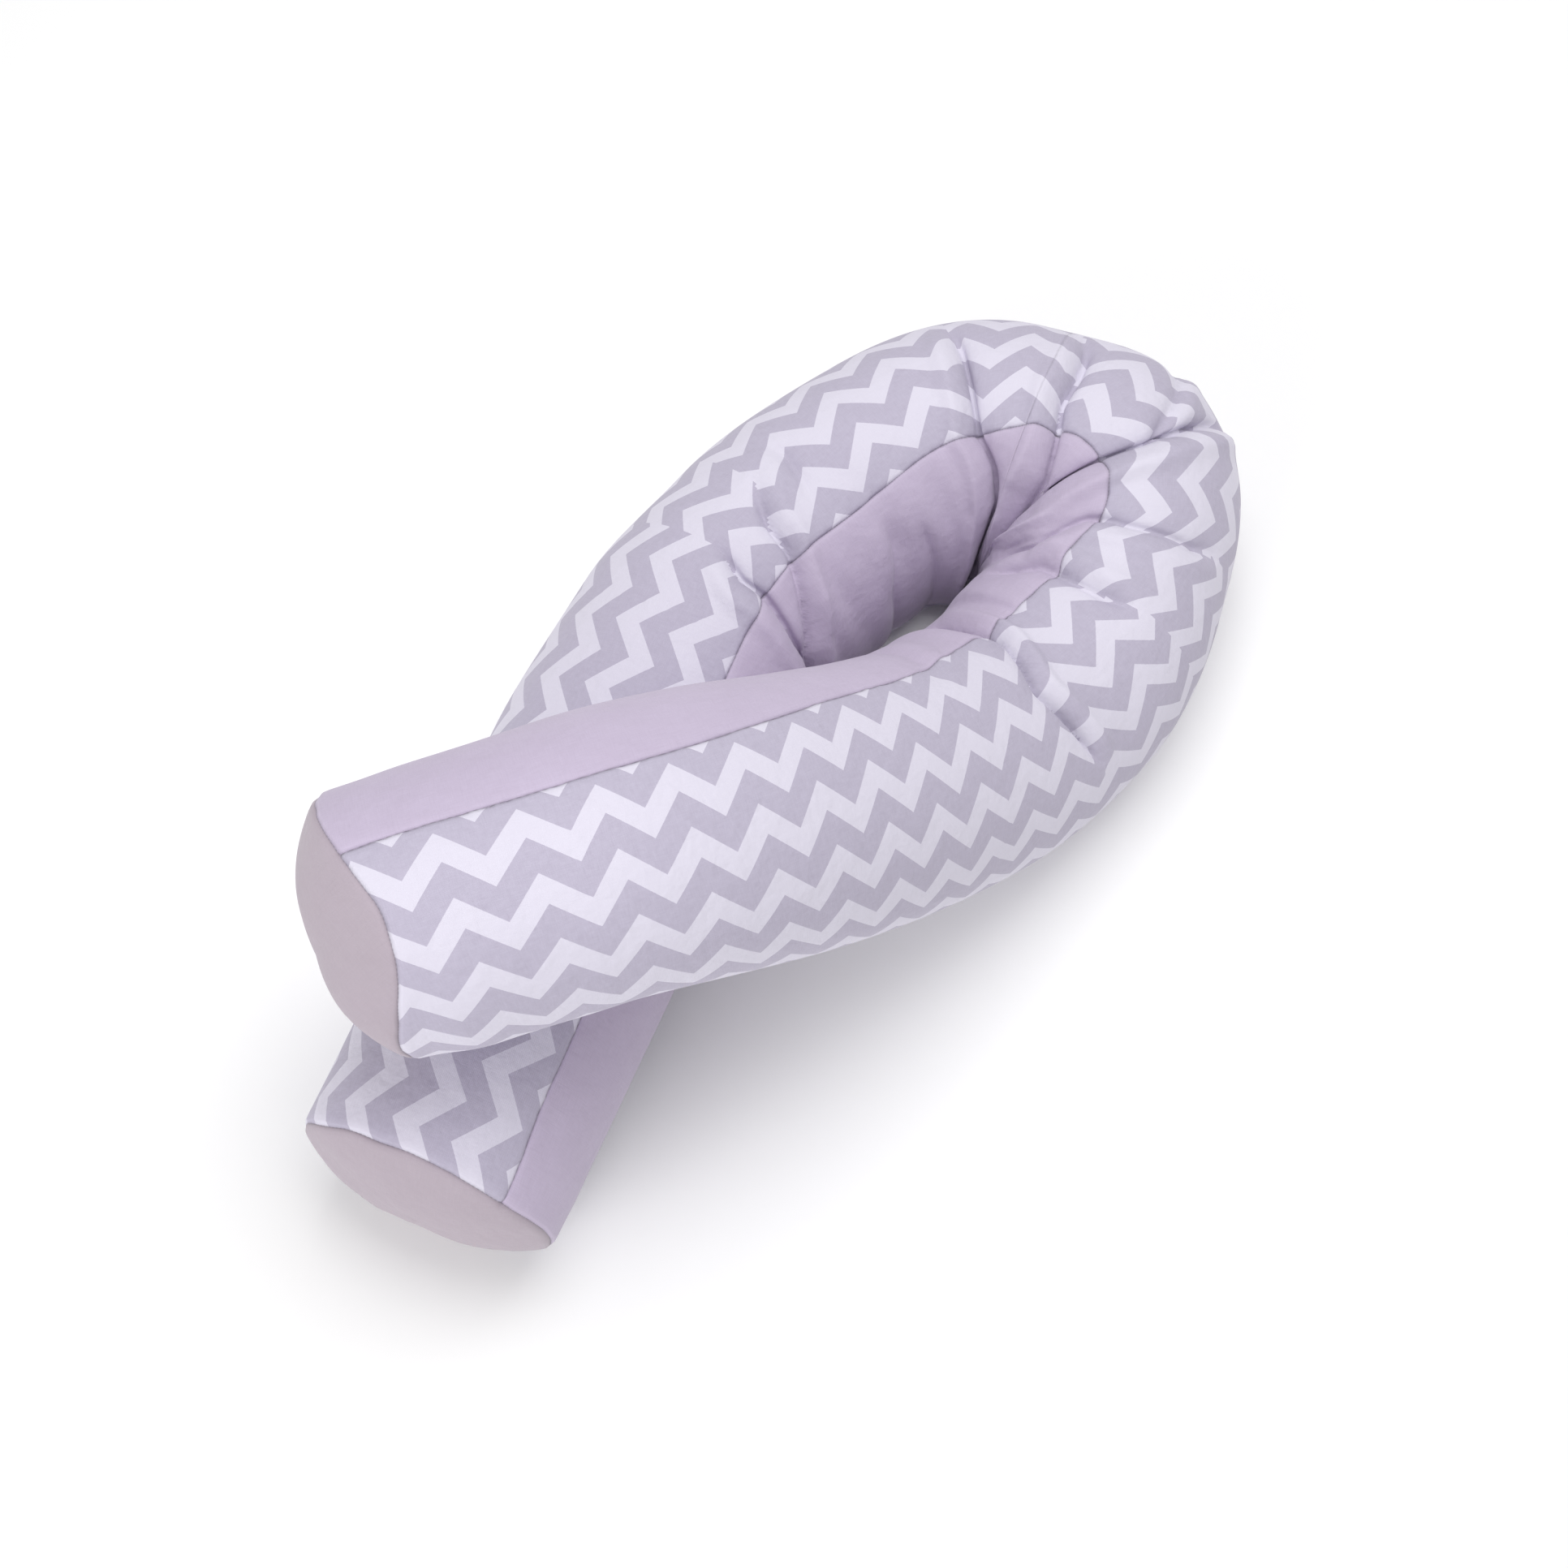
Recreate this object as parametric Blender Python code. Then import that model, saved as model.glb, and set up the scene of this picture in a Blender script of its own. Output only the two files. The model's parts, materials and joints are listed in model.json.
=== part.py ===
"""Nursing pillow: a long stuffed bolster curled into a loop, with one arm laid over the other.

The cover is sewn from a printed panel, a plain strip along the inner side and a round cap at
each end. It holds an inner casing with loose filling, and closes with a zip in the lower seam.
The pillow is three bodies: the loop, and two arms that swing open about upright axes.
"""

import math

import bmesh
import bpy
from mathutils import Matrix, Vector

# The bolster, in metres.
PILLOW_LENGTH = 1.45
HALF_WIDTH = 0.090
HALF_HEIGHT = 0.087
FLOOR_FLAT = 0.005
CAP_DOME = 0.020

# How it lies. The lay starts at the upper arm's cap and follows the middle of the tube.
START_HEADING = math.radians(17.6)
# (distance along the tube, bend in radians per metre)
BENDS = (
    (0.00, -0.35),
    (0.17, 0.90),
    (0.34, 1.50),
    (0.50, 1.60),
    (0.60, 10.40),
    (0.745, 10.40),
    (0.86, 3.40),
    (1.00, 2.50),
    (1.12, 0.00),
)
CROSSING_GAP = 0.010
TIP_SAG = 0.008
TOP_AT = 0.13
DOWN_AT = 0.50

# Where the tube folds open, and how far.
UPPER_HINGE_AT = 0.51
LOWER_HINGE_AT = 1.02
ARM_SWING = math.radians(35.0)
HINGE_GAP = 0.0003
KNUCKLE_EASE = 0.0030
CUP_GAP = 0.0022

# The layers, from the outside in.
COVER_THICKNESS = 0.0005
CASING_THICKNESS = 0.0003
LAYER_GAP = 0.00025
SEAM_GAP = 0.0003

# The plain strip's two long seams, as angles up from the tube's inner side.
# (distance along the tube, angle of the upper seam)
UPPER_SEAM = (
    (0.00, math.radians(79.0)),
    (0.55, math.radians(80.0)),
    (0.72, math.radians(87.0)),
    (1.05, math.radians(70.0)),
    (1.30, math.radians(60.0)),
    (1.45, math.radians(43.0)),
)
LOWER_SEAM = math.radians(-33.0)

# The zip, in the lower seam of the lower arm.
ZIP_START = 1.15
ZIP_LENGTH = 0.25
TAPE_WIDTH = 0.0070
TAPE_THICKNESS = 0.0004
TAPE_TILT = math.radians(4.0)
COIL_WIDTH = 0.0016
COIL_HEIGHT = 0.0016
COIL_DROP = 0.0004
ZIP_GAP = 0.0003
SLIDER_LENGTH = 0.0110
SLIDER_PLATE = 0.0009
SLIDER_WALL = 0.0009
STOP_LENGTH = 0.0030
BAIL_WIDTH = 0.0016
BAIL_LENGTH = 0.0060
BAIL_BAR = 0.0011
BAIL_OPENING = 0.0015
PULLER_LENGTH = 0.0240
PULLER_WIDTH = 0.0048
PULLER_THICKNESS = 0.0006
PULLER_BAR = 0.0010
PULLER_EYE_WIDTH = 0.0026

# How finely the tube is made.
AROUND = 24
ARM_STATIONS = 11
LOOP_STATIONS = 16
STRIP_COLUMNS = 8
KNUCKLE_RINGS = 5
DOME_RINGS = 4
ROUTE_STEP = 0.002

CASING_INSET = COVER_THICKNESS + LAYER_GAP
FILLING_INSET = CASING_INSET + CASING_THICKNESS + LAYER_GAP
REST_HEIGHT = HALF_HEIGHT - FLOOR_FLAT
TOP_HEIGHT = REST_HEIGHT + 2.0 * HALF_HEIGHT + CROSSING_GAP

PRINT_WHITE = (0.80, 0.78, 0.86)
PLAIN_LILAC = (0.60, 0.54, 0.66)
CASING_WHITE = (0.85, 0.85, 0.84)
FIBRE_WHITE = (0.90, 0.90, 0.89)
ZIP_WHITE = (0.78, 0.77, 0.80)
ZIP_METAL = (0.62, 0.62, 0.64)


def smooth(t):
    t = min(max(t, 0.0), 1.0)
    return t * t * (3.0 - 2.0 * t)


def eased(stations, at):
    """The value at a distance along the tube, eased from each station to the next."""
    for (at0, value0), (at1, value1) in zip(stations, stations[1:]):
        if at <= at1:
            return value0 + (value1 - value0) * smooth((at - at0) / (at1 - at0))
    return stations[-1][1]


def height(at):
    """How high the middle of the tube lies: on top at the crossing, then down to the floor."""
    drop = (TOP_HEIGHT - REST_HEIGHT) * smooth((at - TOP_AT) / (DOWN_AT - TOP_AT))
    sag = TIP_SAG * max(0.0, 1.0 - at / TOP_AT) ** 2
    return TOP_HEIGHT - drop - sag


def trace_route():
    """The tube's middle line as (x, y, heading) every ROUTE_STEP."""
    x, y, heading = 0.0, 0.0, START_HEADING
    route = []
    for index in range(round(PILLOW_LENGTH / ROUTE_STEP) + 1):
        route.append((x, y, heading))
        middle = heading + 0.5 * ROUTE_STEP * eased(BENDS, index * ROUTE_STEP)
        x += ROUTE_STEP * math.cos(middle)
        y += ROUTE_STEP * math.sin(middle)
        heading += ROUTE_STEP * eased(BENDS, (index + 0.5) * ROUTE_STEP)
    return route


def frame_at(at):
    """The middle of the tube, and the directions along it, to its inner side and up."""
    place = min(max(at / ROUTE_STEP, 0.0), len(ROUTE) - 1.0)
    low = min(int(place), len(ROUTE) - 2)
    part = place - low
    x, y, heading = (a + (b - a) * part for a, b in zip(ROUTE[low], ROUTE[low + 1]))
    slope = (height(at + 0.001) - height(at - 0.001)) / 0.002
    if at < 0.001:
        slope = 2.0 * TIP_SAG / TOP_AT
    along = Vector((math.cos(heading), math.sin(heading), slope)).normalized()
    inward = Vector((-math.sin(heading), math.cos(heading), 0.0))
    return Vector((x, y, height(at))), along, inward, along.cross(inward)


def tube_point(at, angle, inset, reach=0.0, scale=1.0):
    """A point of the layer that lies inset under the cover's outer face.

    reach moves it along the tube from its station, and scale draws it in to the middle.
    """
    middle, along, inward, up = frame_at(at)
    side = inward * math.cos(angle) * (HALF_WIDTH - inset) * scale
    rise = up * math.sin(angle) * (HALF_HEIGHT - inset) * scale
    point = middle + side + rise + along * reach
    point.z = max(point.z, inset)
    return point


def around_at(at, column):
    """The angle of a layer's column, from 0 to 1, so that every layer's columns lie in line."""
    index = column * AROUND
    seam = eased(UPPER_SEAM, at)
    if index <= STRIP_COLUMNS:
        return LOWER_SEAM + (seam - LOWER_SEAM) * index / STRIP_COLUMNS
    rest = (index - STRIP_COLUMNS) / (AROUND - STRIP_COLUMNS)
    return seam + (LOWER_SEAM + 2.0 * math.pi - seam) * rest


def plan_centre():
    """The middle of the pillow's plan, over the same points as its outer faces."""
    points = []
    for start, end, count in SPANS:
        for row in range(count + 1):
            at = start + (end - start) * row / count
            points += [tube_point(at, around_at(at, k / AROUND), 0.0) for k in range(AROUND)]
    for at, way in ((0.0, -1.0), (PILLOW_LENGTH, 1.0)):
        for ring in range(DOME_RINGS + 1):
            for k in range(AROUND):
                points.append(dome_point(at, way, ring / DOME_RINGS, k / AROUND, 0.0))
    low = [min(p[axis] for p in points) for axis in (0, 1)]
    high = [max(p[axis] for p in points) for axis in (0, 1)]
    return (low[0] + high[0]) / 2.0, (low[1] + high[1]) / 2.0


def dome_point(at, way, radius, column, inset):
    """A point of a domed end: radius runs from 0 at the middle to 1 at the rim."""
    angle = around_at(at, column)
    bulge = CAP_DOME * (1.0 - radius ** 2.4) + COVER_THICKNESS + SEAM_GAP - inset
    return tube_point(at, angle, inset, reach=way * bulge, scale=radius)


def material(name, colour, roughness, metallic=0.0):
    made = bpy.data.materials.new(name)
    made.use_nodes = True
    shader = made.node_tree.nodes["Principled BSDF"]
    shader.inputs["Base Color"].default_value = (*colour, 1.0)
    shader.inputs["Roughness"].default_value = roughness
    shader.inputs["Metallic"].default_value = metallic
    made.diffuse_color = (*colour, 1.0)
    return made


def add_object(name, bm, made_of, parent=None):
    """Makes an object of a mesh in world coordinates, placed under its parent."""
    bmesh.ops.recalc_face_normals(bm, faces=bm.faces[:])
    mesh = bpy.data.meshes.new(name)
    bm.to_mesh(mesh)
    bm.free()
    mesh.shade_smooth()
    mesh.set_sharp_from_angle(angle=math.radians(40.0))
    mesh.materials.append(made_of)
    obj = bpy.data.objects.new(name, mesh)
    bpy.context.scene.collection.objects.link(obj)
    if parent:
        mesh.transform(parent.matrix_world.inverted())
        obj.parent = parent
    return obj


def pivot(name, matrix, parent=None):
    """An empty on a joint's axis."""
    empty = bpy.data.objects.new(name, None)
    empty.empty_display_size = 0.05
    bpy.context.scene.collection.objects.link(empty)
    empty.parent = parent
    empty.matrix_world = matrix
    bpy.context.view_layer.update()
    return empty


def sheet(rows, columns, placed):
    """A grid whose corners are placed by a rule of (row, column), each from 0 to 1."""
    bm = bmesh.new()
    bmesh.ops.create_grid(bm, x_segments=columns, y_segments=rows, size=0.5)
    for vert in bm.verts:
        vert.co = placed(vert.co.y + 0.5, vert.co.x + 0.5)
    bmesh.ops.remove_doubles(bm, verts=bm.verts[:], dist=0.00001)
    bmesh.ops.dissolve_degenerate(bm, edges=bm.edges[:], dist=0.00001)
    return bm


def thicken(obj, thickness):
    """Gives a sheet its thickness, under the face it was made on."""
    solid = obj.modifiers.new("Thickness", "SOLIDIFY")
    solid.thickness = thickness
    solid.offset = -1.0
    solid.use_even_offset = True


def cut(obj, cutter, operation="DIFFERENCE"):
    boolean = obj.modifiers.new(cutter.name, "BOOLEAN")
    boolean.operation = operation
    boolean.object = cutter


def cutter(name, bm):
    obj = add_object(name, bm, STUFFS["cutter"])
    obj.hide_render = True
    obj.display_type = "WIRE"
    return obj


def box(low, high, placed):
    """A block between two corners of the frame placed."""
    bm = bmesh.new()
    size = [b - a for a, b in zip(low, high)]
    middle = [(a + b) / 2.0 for a, b in zip(low, high)]
    matrix = placed @ Matrix.Translation(middle) @ Matrix.Diagonal((*size, 1.0))
    bmesh.ops.create_cube(bm, size=1.0, matrix=matrix)
    return bm


def round_edges(bm, width):
    bmesh.ops.bevel(
        bm,
        geom=bm.edges[:],
        offset=width,
        segments=1,
        profile=0.5,
        affect="EDGES",
        material=-1,
    )
    return bm


def panel(name, span, upper, lower, count, made_of, parent):
    """A cover panel between two seams, each an angle by distance along the tube."""
    start, end, rows = span
    ease = SEAM_GAP / 2.0 / HALF_WIDTH

    def placed(row, column):
        at = start + (end - start) * row
        low = lower(at) + ease
        high = upper(at) - ease
        return tube_point(at, low + (high - low) * column, 0.0)

    obj = add_object(name, outward(sheet(rows, count, placed), span), made_of, parent)
    thicken(obj, COVER_THICKNESS)
    return obj


def outward(bm, span):
    """Turns a sheet's faces away from the middle of the tube."""
    start, end, rows = span
    bm.faces.ensure_lookup_table()
    bm.normal_update()
    middles = [frame_at(start + (end - start) * k / (4.0 * rows))[0] for k in range(4 * rows + 1)]
    for face in bm.faces:
        centre = face.calc_center_median()
        nearest = min(middles, key=lambda point: (point - centre).length_squared)
        if face.normal.dot(centre - nearest) < 0.0:
            face.normal_flip()
    return bm


def casing(name, span, made_of, parent):
    """The inner casing's sleeve: a plain tube under the cover, open at both ends."""
    start, end, rows = span

    def placed(row, column):
        at = start + (end - start) * row
        return tube_point(at, around_at(at, column), CASING_INSET)

    obj = add_object(name, outward(sheet(rows, AROUND, placed), span), made_of, parent)
    thicken(obj, CASING_THICKNESS)
    return obj


def domed_end(name, at, way, inset, thickness, made_of, parent):
    """A round cap, domed a little by what it holds in."""

    def placed(row, column):
        return dome_point(at, way, row, column, inset)

    bm = sheet(DOME_RINGS, AROUND, placed)
    bmesh.ops.recalc_face_normals(bm, faces=bm.faces[:])
    middle, along, _, _ = frame_at(at)
    bm.normal_update()
    if sum(face.normal.dot(along) * way for face in bm.faces) < 0.0:
        bmesh.ops.reverse_faces(bm, faces=bm.faces[:])
    obj = add_object(name, bm, made_of, parent)
    thicken(obj, thickness)
    return obj


def arm_filling(name, tip, hinge, made_of, parent):
    """An arm's filling: domed at the tip, with a rounded knuckle that turns in the loop."""
    way = -1.0 if tip < hinge else 1.0
    rows = DOME_RINGS + ARM_STATIONS + 1 + KNUCKLE_RINGS

    def placed(row, column):
        index = round(row * rows)
        if index <= DOME_RINGS:
            return dome_point(tip, way, index / DOME_RINGS, column, FILLING_INSET)
        index -= DOME_RINGS
        if index <= ARM_STATIONS:
            at = tip + (hinge - tip) * index / ARM_STATIONS
            return tube_point(at, around_at(at, column), FILLING_INSET)
        turn = math.pi / 2.0 * (index - ARM_STATIONS - 1) / KNUCKLE_RINGS
        inset = FILLING_INSET + KNUCKLE_EASE
        reach = -way * (HALF_WIDTH - inset) * math.sin(turn)
        angle = around_at(hinge, column)
        return tube_point(hinge, angle, inset, reach=reach, scale=math.cos(turn))

    return add_object(name, sheet(rows, AROUND, placed), made_of, parent)


def loop_filling(name, span, made_of):
    """The loop's filling, with flat ends that the knuckles are let into."""
    start, end, count = span
    rows = count + 2

    def placed(row, column):
        index = round(row * rows)
        scale = 0.0 if index in (0, rows) else 1.0
        at = start + (end - start) * min(max(index - 1, 0), count) / count
        return tube_point(at, around_at(at, column), FILLING_INSET, scale=scale)

    return add_object(name, sheet(rows, AROUND, placed), made_of)


def knuckle_cup(name, hinge):
    """The hollow in the loop's filling that a knuckle turns in."""
    middle, along, inward, up = frame_at(hinge)
    inset = FILLING_INSET + KNUCKLE_EASE - CUP_GAP
    size = Matrix.Diagonal((HALF_WIDTH - inset, HALF_WIDTH - inset, HALF_HEIGHT - inset, 1.0))
    bm = bmesh.new()
    bmesh.ops.create_uvsphere(
        bm,
        u_segments=AROUND,
        v_segments=AROUND // 2,
        radius=1.0,
        matrix=Matrix.Translation(middle) @ size,
    )
    return cutter(name, bm)


def swing_room(name, hinge, way):
    """The wedge on the loop's outer side that an arm swings into."""
    middle, along, inward, up = frame_at(hinge)
    turn = Matrix.Rotation(way * ARM_SWING, 3, "Z")
    out = turn @ (along * way)
    side = turn @ (-inward)
    rotation = Matrix((out, side, Vector((0.0, 0.0, 1.0)))).transposed().to_4x4()
    placed = Matrix.Translation(middle) @ rotation
    reach = 1.3 * HALF_WIDTH
    low = (-reach * math.sin(ARM_SWING) * 1.3, -0.002, -2.0 * HALF_HEIGHT)
    return cutter(name, box(low, (HINGE_GAP, reach, 2.0 * HALF_HEIGHT), placed))


def zip_frame():
    """The zip's frame at its start: X along the seam, Y up across it and Z out of the cover."""
    _, along, inward, up = frame_at(ZIP_START)
    spot = tube_point(ZIP_START, LOWER_SEAM, 0.0)
    out = inward * math.cos(LOWER_SEAM) / HALF_WIDTH + up * math.sin(LOWER_SEAM) / HALF_HEIGHT
    out.normalize()
    across = out.cross(along)
    rotation = Matrix((along, across, out)).transposed().to_4x4()
    return Matrix.Translation(spot) @ rotation


def add_zip(arm):
    """The zip's tapes, coils and stops, then the slider and its puller."""
    placed = zip_frame()
    coil_edge = ZIP_GAP / 2.0 + COIL_WIDTH
    for side, name in ((1.0, "Upper"), (-1.0, "Lower")):
        near = side * (coil_edge + ZIP_GAP)
        tilt = Matrix.Translation((0.0, near, 0.0)) @ Matrix.Rotation(-side * TAPE_TILT, 4, "X")
        edges = sorted((0.0, side * TAPE_WIDTH))
        low = (0.0, edges[0], -TAPE_THICKNESS)
        tape = box(low, (ZIP_LENGTH, edges[1], 0.0), placed @ tilt)
        add_object("Zip_Tape_" + name, tape, STUFFS["tape"], arm)

        edges = sorted((side * ZIP_GAP / 2.0, side * coil_edge))
        start = STOP_LENGTH + ZIP_GAP
        low = (start, edges[0], -COIL_DROP)
        high = (ZIP_LENGTH - start, edges[1], COIL_HEIGHT - COIL_DROP)
        add_object("Zip_Coil_" + name, round_edges(box(low, high, placed), 0.0003), STUFFS["tape"], arm)

        low = (ZIP_LENGTH - STOP_LENGTH, edges[0], -COIL_DROP)
        stop = round_edges(box(low, (ZIP_LENGTH, *high[1:]), placed), 0.0003)
        add_object("Zip_Top_Stop_" + name, stop, STUFFS["metal"], arm)

    low = (0.0, -coil_edge, -COIL_DROP)
    stop = box(low, (STOP_LENGTH, coil_edge, COIL_HEIGHT - COIL_DROP), placed)
    add_object("Zip_Bottom_Stop", round_edges(stop, 0.0003), STUFFS["metal"], arm)
    add_slider(placed, arm)


def add_slider(placed, arm):
    """The slider rides over both coils. Its bail holds the puller's bar."""
    start = ZIP_LENGTH - STOP_LENGTH - ZIP_GAP - SLIDER_LENGTH
    middle = placed @ Matrix.Translation((start + SLIDER_LENGTH / 2.0, 0.0, 0.0))
    coil_top = COIL_HEIGHT - COIL_DROP
    inner = COIL_WIDTH + ZIP_GAP * 1.5
    outer = inner + SLIDER_WALL
    roof = coil_top + ZIP_GAP
    top = roof + SLIDER_PLATE
    half = SLIDER_LENGTH / 2.0
    carried = pivot("Zip_Slide", middle, arm)
    slider = box((-half, -outer, ZIP_GAP), (half, outer, top), middle)
    slider = add_object("Zip_Slider", round_edges(slider, 0.0003), STUFFS["metal"], carried)
    cut(slider, cutter("Slider_Channel", box((-0.02, -inner, -0.01), (0.02, inner, roof), middle)))
    bail_high = top + BAIL_OPENING + BAIL_BAR
    bail = box(
        (-BAIL_LENGTH / 2.0, -BAIL_WIDTH / 2.0, top - SLIDER_PLATE / 2.0),
        (BAIL_LENGTH / 2.0, BAIL_WIDTH / 2.0, bail_high),
        middle,
    )
    cut(slider, cutter("Slider_Bail", bail), "UNION")
    opening = BAIL_LENGTH / 2.0 - BAIL_BAR
    hole = box((-opening, -0.01, top), (opening, 0.01, top + BAIL_OPENING), middle)
    cut(slider, cutter("Slider_Bail_Opening", hole))

    axis = middle @ Matrix.Translation((0.0, 0.0, top + BAIL_OPENING / 2.0))
    swung = pivot("Zip_Puller_Pivot", axis, carried)
    bar = PULLER_BAR / 2.0
    low = (-PULLER_LENGTH + bar, -PULLER_WIDTH / 2.0, -PULLER_THICKNESS / 2.0)
    puller = box(low, (bar, PULLER_WIDTH / 2.0, PULLER_THICKNESS / 2.0), axis)
    puller = add_object("Zip_Puller", round_edges(puller, 0.00015), STUFFS["metal"], swung)
    eye_end = -math.hypot(BAIL_LENGTH / 2.0, BAIL_OPENING / 2.0 + BAIL_BAR) - ZIP_GAP
    eye = box((eye_end, -PULLER_EYE_WIDTH / 2.0, -0.01), (-bar, PULLER_EYE_WIDTH / 2.0, 0.01), axis)
    cut(puller, cutter("Puller_Eye", eye))


def add_cover(name, span, parent):
    """A body's two cover panels, which meet at the strip's two seams."""
    upper = lambda at: eased(UPPER_SEAM, at)
    lower = lambda at: LOWER_SEAM
    strip = STRIP_COLUMNS
    around = lambda at: LOWER_SEAM + 2.0 * math.pi
    plain = panel(name + "_Plain_Panel", span, upper, lower, strip, STUFFS["plain"], parent)
    printed = panel(name + "_Print_Panel", span, around, upper, AROUND - strip, STUFFS["print"], parent)
    return plain, printed


def add_arm(name, tip, span, hinge):
    """An arm: cover, casing, filling and the two round ends, swung about its hinge."""
    way = -1.0 if tip < hinge else 1.0
    parent = pivot(name + "_Hinge", Matrix.Translation(frame_at(hinge)[0]))
    cover = add_cover(name, span, parent)
    domed_end(name + "_End_Cap", tip, way, 0.0, COVER_THICKNESS, STUFFS["cap"], parent)
    domed_end(name + "_Casing_End", tip, way, CASING_INSET, CASING_THICKNESS, STUFFS["casing"], parent)
    trims = [CASING_INSET * (at == tip) for at in span[:2]]
    sleeve = (span[0] + trims[0], span[1] - trims[1], span[2])
    casing(name + "_Inner_Casing", sleeve, STUFFS["casing"], parent)
    arm_filling(name + "_Filling", tip, hinge, STUFFS["filling"], parent)
    return parent, cover


def add_loop(span):
    """The loop between the arms, cut back on its outer side where they swing."""
    rooms = [
        swing_room("Upper_Swing_Room", UPPER_HINGE_AT, 1.0),
        swing_room("Lower_Swing_Room", LOWER_HINGE_AT, -1.0),
    ]
    pieces = list(add_cover("Loop", span, None))
    pieces.append(casing("Loop_Inner_Casing", span, STUFFS["casing"], None))
    filling = loop_filling("Loop_Filling", span, STUFFS["filling"])
    pieces.append(filling)
    for piece in pieces:
        for room in rooms:
            cut(piece, room)
    cut(filling, knuckle_cup("Upper_Knuckle_Cup", UPPER_HINGE_AT))
    cut(filling, knuckle_cup("Lower_Knuckle_Cup", LOWER_HINGE_AT))


LOOP_SPAN = (UPPER_HINGE_AT + HINGE_GAP, LOWER_HINGE_AT - HINGE_GAP, LOOP_STATIONS)
UPPER_SPAN = (0.0, UPPER_HINGE_AT, ARM_STATIONS)
LOWER_SPAN = (LOWER_HINGE_AT, PILLOW_LENGTH, ARM_STATIONS)
SPANS = (UPPER_SPAN, LOOP_SPAN, LOWER_SPAN)

for old in list(bpy.data.objects):
    bpy.data.objects.remove(old, do_unlink=True)

STUFFS = {
    "print": material("printed_cotton", PRINT_WHITE, 0.85),
    "plain": material("plain_cotton", PLAIN_LILAC, 0.85),
    "cap": material("cap_cotton", PLAIN_LILAC, 0.85),
    "casing": material("casing_cotton", CASING_WHITE, 0.9),
    "filling": material("fibre_filling", FIBRE_WHITE, 0.95),
    "tape": material("zip_tape", ZIP_WHITE, 0.7),
    "metal": material("zip_metal", ZIP_METAL, 0.35, 0.9),
    "cutter": material("cutter", (0.9, 0.3, 0.2), 0.5),
}

ROUTE = trace_route()
CENTRE = plan_centre()
ROUTE = [(x - CENTRE[0], y - CENTRE[1], heading) for x, y, heading in ROUTE]

add_loop(LOOP_SPAN)
add_arm("Upper_Arm", 0.0, UPPER_SPAN, UPPER_HINGE_AT)
lower_arm, lower_cover = add_arm("Lower_Arm", PILLOW_LENGTH, LOWER_SPAN, LOWER_HINGE_AT)
slot_half = TAPE_WIDTH + COIL_WIDTH + 2.5 * ZIP_GAP
slot = box((-ZIP_GAP, -slot_half, -0.006), (ZIP_LENGTH + ZIP_GAP, slot_half, 0.006), zip_frame())
slot = cutter("Zip_Slot", slot)
for piece in lower_cover:
    cut(piece, slot)
add_zip(lower_arm)
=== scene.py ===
"""Nursing pillow: a long stuffed bolster curled into a loop, with one arm laid over the other.

The order is the order of making: the lay of the tube, the folds it takes, the stuffed cover,
its printed panels, its plain strips, its round ends, the zip, and last the floor and lights.
"""

import json
import math

import bmesh
import bpy
import numpy as np
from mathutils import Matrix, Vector


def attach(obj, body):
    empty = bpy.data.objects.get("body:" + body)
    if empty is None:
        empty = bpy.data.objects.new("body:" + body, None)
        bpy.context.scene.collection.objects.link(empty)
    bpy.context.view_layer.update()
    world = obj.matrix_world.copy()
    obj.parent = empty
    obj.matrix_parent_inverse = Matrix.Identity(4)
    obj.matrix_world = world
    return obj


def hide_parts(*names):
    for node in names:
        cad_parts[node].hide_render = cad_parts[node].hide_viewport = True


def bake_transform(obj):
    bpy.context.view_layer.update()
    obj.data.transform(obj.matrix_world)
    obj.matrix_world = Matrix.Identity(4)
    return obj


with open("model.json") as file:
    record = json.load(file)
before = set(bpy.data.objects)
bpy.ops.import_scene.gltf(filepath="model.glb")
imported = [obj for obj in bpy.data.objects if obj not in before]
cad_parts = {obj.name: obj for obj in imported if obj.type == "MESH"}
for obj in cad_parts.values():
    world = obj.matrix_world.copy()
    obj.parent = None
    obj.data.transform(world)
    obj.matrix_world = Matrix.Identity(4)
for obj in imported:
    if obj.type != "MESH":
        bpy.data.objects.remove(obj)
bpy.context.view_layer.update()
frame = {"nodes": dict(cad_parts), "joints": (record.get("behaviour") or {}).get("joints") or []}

# ---------------------------------------------------------------- the lay of the tube
# The pillow is one long soft tube, stuffed with loose fibre. It is laid down in a loop
# from the upper arm's end, round the turn, to the lower arm's end, under its own weight.

PILLOW_LENGTH = 1.45
HALF_WIDTH = 0.090
HALF_HEIGHT = 0.087
FLOOR_FLAT = 0.005
UPPER_DOME = 0.034
LOWER_DOME = 0.024
END_SLANT = 0.024
START_HEADING = math.radians(17.6)
# (distance along the tube, bend in radians per metre)
BENDS = (
    (0.00, -0.35),
    (0.17, 0.90),
    (0.34, 1.50),
    (0.50, 1.60),
    (0.60, 10.40),
    (0.745, 10.40),
    (0.86, 3.40),
    (1.00, 2.50),
    (1.12, 0.00),
)
CROSSING_GAP = 0.010
TIP_SAG = 0.008
TOP_AT = 0.13
DOWN_AT = 0.50
UPPER_HINGE_AT = 0.51
LOWER_HINGE_AT = 1.02
ROUTE_STEP = 0.002
REST_HEIGHT = HALF_HEIGHT - FLOOR_FLAT
TOP_HEIGHT = REST_HEIGHT + 2.0 * HALF_HEIGHT + CROSSING_GAP
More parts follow.
